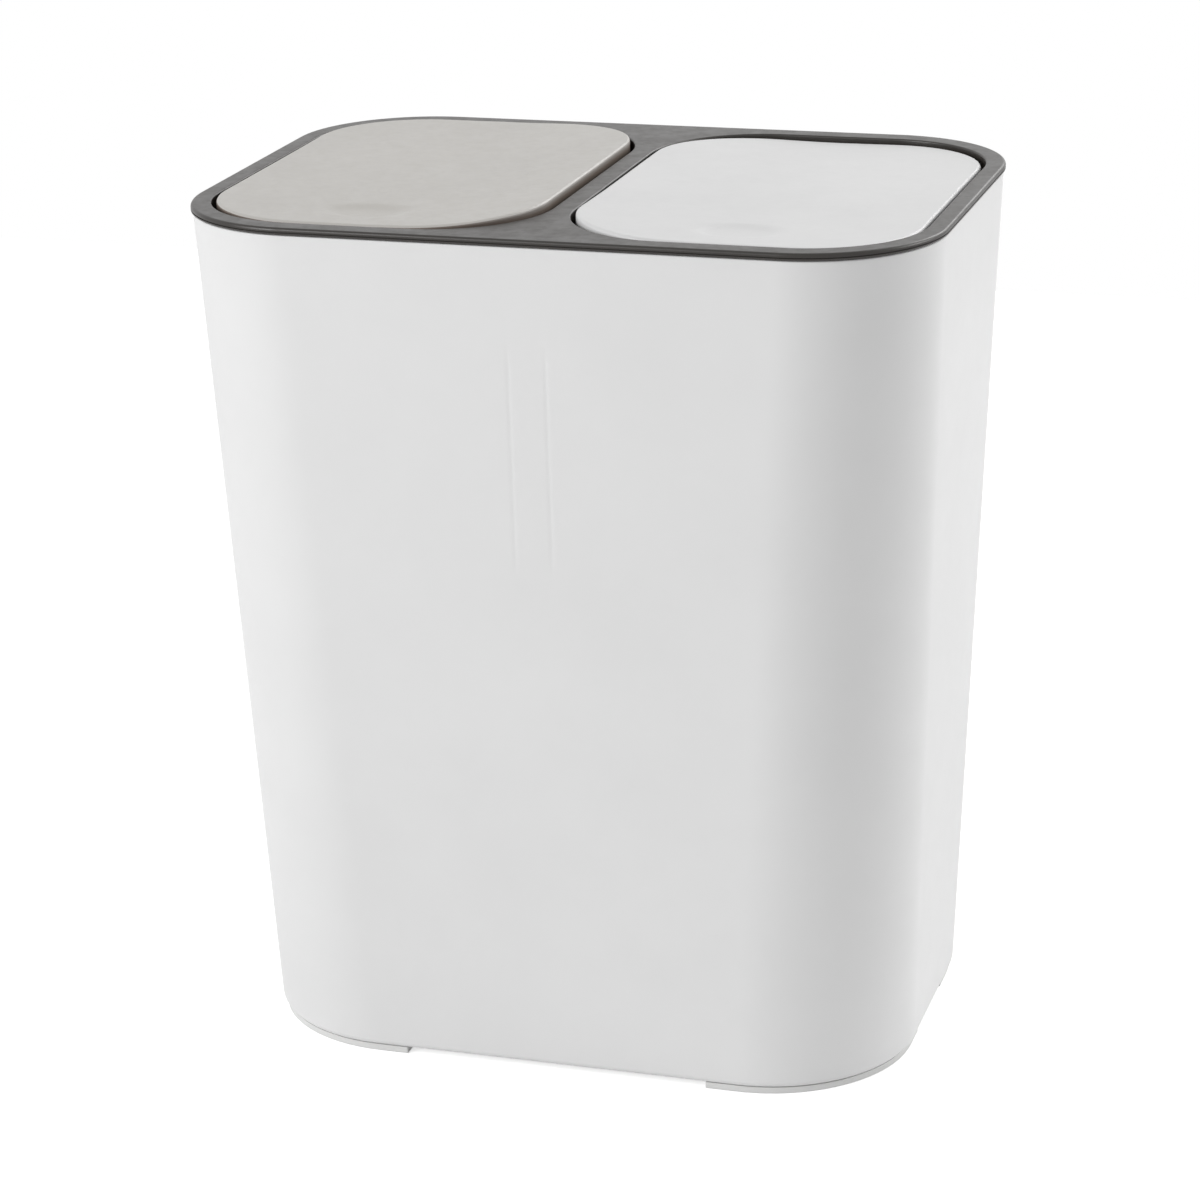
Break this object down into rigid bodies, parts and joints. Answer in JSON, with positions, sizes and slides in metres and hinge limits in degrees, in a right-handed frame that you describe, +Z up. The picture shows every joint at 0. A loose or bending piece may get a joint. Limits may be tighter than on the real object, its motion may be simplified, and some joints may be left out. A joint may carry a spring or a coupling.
{
  "type": "double recycling bin",
  "caption": "Free-standing household waste bin with two lift-out inner buckets under two press-open lids in a shared frame.",
  "frame": {"origin": "on the floor, under the middle of the bin", "axes": "+Z up, -Y out of the front, where the lids are pressed, +X to the right seen from the front"},
  "size_m": [0.3, 0.2134, 0.3493],
  "materials": {
    "white_body": "fine matte moulded polypropylene, white",
    "foot_pad": "matte moulded polypropylene, off-white",
    "bucket": "matte moulded polypropylene, light grey",
    "frame_taupe": "satin moulded polypropylene, grey-brown",
    "lid_grey": "satin moulded polypropylene, warm light grey",
    "lid_white": "satin moulded polypropylene, white",
    "latch_plastic": "moulded acetal, near black",
    "steel": "zinc-plated steel",
    "spring_steel": "drawn spring wire"
  },
  "bodies": {
    "tub": {"body_shell": "white_body", "foot_front_left": "foot_pad", "foot_front_right": "foot_pad", "foot_back_left": "foot_pad", "foot_back_right": "foot_pad"},
    "top_frame": {"lid_frame": "frame_taupe", "hinge_pin_centre": "steel", "hinge_pin_left": "steel", "hinge_pin_right": "steel", "lid_spring_left": "spring_steel", "lid_spring_right": "spring_steel", "latch_housing_left": "latch_plastic", "latch_housing_right": "latch_plastic", "latch_spring_left": "spring_steel", "latch_spring_right": "spring_steel", "latch_screw_left_1": "steel", "latch_screw_left_2": "steel", "latch_screw_right_1": "steel", "latch_screw_right_2": "steel"},
    "left_lid": {"lid_left": "lid_grey"},
    "right_lid": {"lid_right": "lid_white"},
    "left_latch": {"latch_plunger_left": "latch_plastic"},
    "right_latch": {"latch_plunger_right": "latch_plastic"},
    "left_bucket": {"bucket_left": "bucket"},
    "right_bucket": {"bucket_right": "bucket"}
  },
  "joints": [
    {"name": "frame_lift", "type": "slide", "parent": "tub", "child": "top_frame", "axis": [0, 0, 1], "range_m": [0, 0.045]},
    {"name": "lid_left_hinge", "type": "hinge", "parent": "top_frame", "child": "left_lid", "pos_m": [-0.0734, 0.05395, 0.3392], "axis": [-1, 0, 0], "range_deg": [0, 85]},
    {"name": "lid_right_hinge", "type": "hinge", "parent": "top_frame", "child": "right_lid", "pos_m": [0.0734, 0.05395, 0.3392], "axis": [-1, 0, 0], "range_deg": [0, 85]},
    {"name": "latch_left_press", "type": "slide", "parent": "top_frame", "child": "left_latch", "axis": [0, 0, -1], "range_m": [0, 0.002], "stiffness_N_per_m": 1500, "deforming": ["latch_spring_left"]},
    {"name": "latch_right_press", "type": "slide", "parent": "top_frame", "child": "right_latch", "axis": [0, 0, -1], "range_m": [0, 0.002], "stiffness_N_per_m": 1500, "deforming": ["latch_spring_right"]},
    {"name": "bucket_left_lift", "type": "slide", "parent": "tub", "child": "left_bucket", "axis": [0, 0, 1], "range_m": [0, 0.008]},
    {"name": "bucket_right_lift", "type": "slide", "parent": "tub", "child": "right_bucket", "axis": [0, 0, 1], "range_m": [0, 0.008]}
  ]
}
